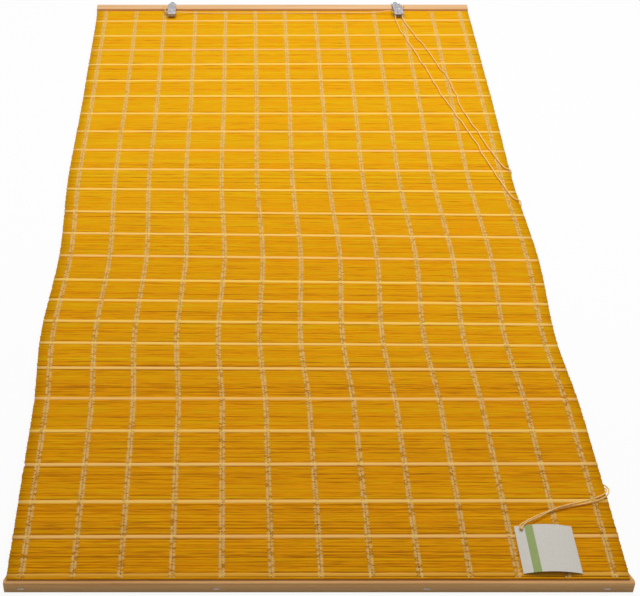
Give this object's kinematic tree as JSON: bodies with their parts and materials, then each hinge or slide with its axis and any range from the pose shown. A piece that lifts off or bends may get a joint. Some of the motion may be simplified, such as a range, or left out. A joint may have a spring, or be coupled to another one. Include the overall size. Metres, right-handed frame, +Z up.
{
  "type": "bamboo roll up blind",
  "caption": "Window blind of woven bamboo sticks and pale slats between two wooden rails, lying unrolled, with a pulley, a cord lock, lift cords and a card tag.",
  "frame": {"origin": "middle of the floor under the lying blind", "axes": "+X along the slats, +Y towards the head rail, +Z up through the front face"},
  "size_m": [0.8116, 1.6058, 0.0298],
  "materials": {
    "yellow_reed": "yellow dyed bamboo sticks, satin",
    "pale_bamboo": "natural split bamboo, satin",
    "warp_thread": "cream cotton thread, matt",
    "rail_wood": "planed pale softwood, matt",
    "galvanised_steel": "galvanised sheet, dull",
    "bright_steel": "zinc plated steel, semi-gloss",
    "cord": "twisted cream cord, matt",
    "card": "off-white card, matt"
  },
  "bodies": {
    "blind": {"head_rail": "rail_wood", "bottom_rail": "rail_wood", "bottom_rail_staples": "bright_steel", "reed_mat": "yellow_reed", "end_slat": "pale_bamboo", "natural_slat_01": "pale_bamboo", "natural_slat_02": "pale_bamboo", "natural_slat_03": "pale_bamboo", "natural_slat_04": "pale_bamboo", "natural_slat_05": "pale_bamboo", "natural_slat_06": "pale_bamboo", "natural_slat_07": "pale_bamboo", "natural_slat_08": "pale_bamboo", "natural_slat_09": "pale_bamboo", "natural_slat_10": "pale_bamboo", "natural_slat_11": "pale_bamboo", "natural_slat_12": "pale_bamboo", "natural_slat_13": "pale_bamboo", "natural_slat_14": "pale_bamboo", "natural_slat_15": "pale_bamboo", "natural_slat_16": "pale_bamboo", "natural_slat_17": "pale_bamboo", "natural_slat_18": "pale_bamboo", "natural_slat_19": "pale_bamboo", "natural_slat_20": "pale_bamboo", "natural_slat_21": "pale_bamboo", "natural_slat_22": "pale_bamboo", "natural_slat_23": "pale_bamboo", "natural_slat_24": "pale_bamboo", "warp_band_01": "warp_thread", "warp_band_02": "warp_thread", "warp_band_03": "warp_thread", "warp_band_04": "warp_thread", "warp_band_05": "warp_thread", "warp_band_06": "warp_thread", "warp_band_07": "warp_thread", "warp_band_08": "warp_thread", "warp_band_09": "warp_thread", "warp_band_10": "warp_thread", "warp_band_11": "warp_thread", "warp_band_12": "warp_thread", "warp_band_13": "warp_thread", "pulley_back_strip": "galvanised_steel", "pulley_front_strip": "galvanised_steel", "lock_back_strip": "galvanised_steel", "lock_front_strip": "galvanised_steel", "pulley_axle": "bright_steel", "lock_axle": "bright_steel", "fitting_screws": "bright_steel", "left_lift_cord": "cord", "right_lift_cord": "cord", "rail_knots": "cord", "tag_knot": "cord", "hang_tag": "card"},
    "pulley_wheel": {"pulley_wheel": "bright_steel"},
    "lock_wheel": {"lock_wheel": "bright_steel"},
    "lock_roller": {"lock_roller": "bright_steel"}
  },
  "joints": [
    {"name": "pulley_spin", "type": "hinge", "parent": "blind", "child": "pulley_wheel", "pos_m": [-0.238, 0.75198, 0.0223], "axis": [0, 0, 1], "continuous": true},
    {"name": "lock_spin", "type": "hinge", "parent": "blind", "child": "lock_wheel", "pos_m": [0.24814, 0.7576, 0.0223], "axis": [0, 0, 1], "continuous": true},
    {"name": "roller_slide", "type": "slide", "parent": "blind", "child": "lock_roller", "axis": [0.0523, -0.9986, 0], "range_m": [0, 0.0035]}
  ]
}
